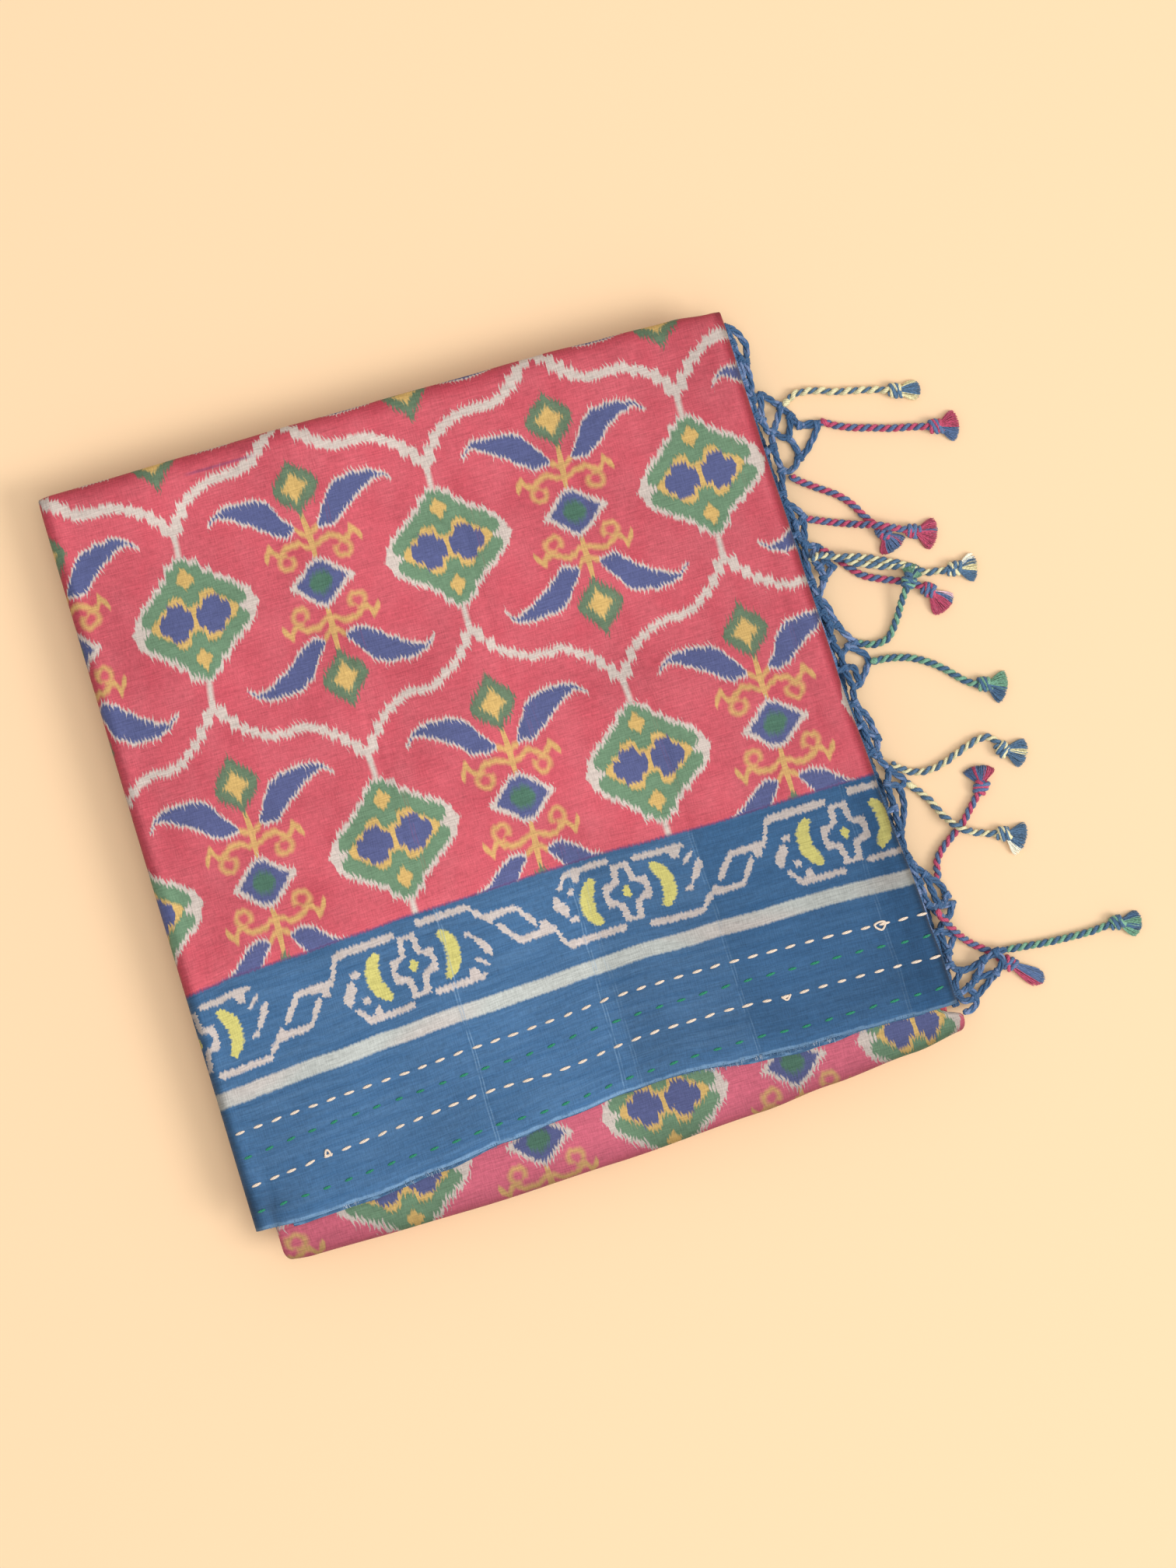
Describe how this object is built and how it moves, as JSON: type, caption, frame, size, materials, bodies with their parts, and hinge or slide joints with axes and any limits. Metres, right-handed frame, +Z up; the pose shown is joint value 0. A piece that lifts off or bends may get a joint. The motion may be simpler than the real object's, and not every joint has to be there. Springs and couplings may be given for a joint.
{
  "type": "folded saree",
  "caption": "Silk saree folded into a flat square pack, pink ikat field over a blue stitched border, with a knotted net fringe and twisted tassel cords spread on one side.",
  "frame": {"origin": "on the underside that the pack rests on, at the middle of the folded cloth", "axes": "+X along the border towards the fringe, +Y to the far folded edge, +Z up"},
  "size_m": [0.3587, 0.3084, 0.0267],
  "materials": {
    "ikat_field": "matte tussar silk, pink with green, violet, ochre and white ikat figures",
    "border_cloth": "matte tussar silk, blue with a white and lemon ikat frieze",
    "leaf_edges": "matte silk folds seen edge on, crimson and blue",
    "navy_thread": "soft spun silk thread, navy blue",
    "yellow_cord": "twisted silk cord, pale yellow with navy blue",
    "pink_cord": "twisted silk cord, deep pink with navy blue",
    "green_cord": "twisted silk cord, green with navy blue"
  },
  "bodies": {
    "root": {"folded_stack": "leaf_edges", "mid_fold": "ikat_field", "under_selvedge": "border_cloth", "top_leaf": "ikat_field", "fringe_net": "navy_thread", "tassel_01": "yellow_cord", "tassel_02": "pink_cord", "tassel_03": "pink_cord", "tassel_04": "pink_cord", "tassel_05": "yellow_cord", "tassel_06": "pink_cord", "tassel_07": "green_cord", "tassel_08": "green_cord", "tassel_09": "yellow_cord", "tassel_10": "yellow_cord", "tassel_11": "pink_cord", "tassel_12": "pink_cord", "tassel_13": "green_cord"}
  },
  "joints": []
}
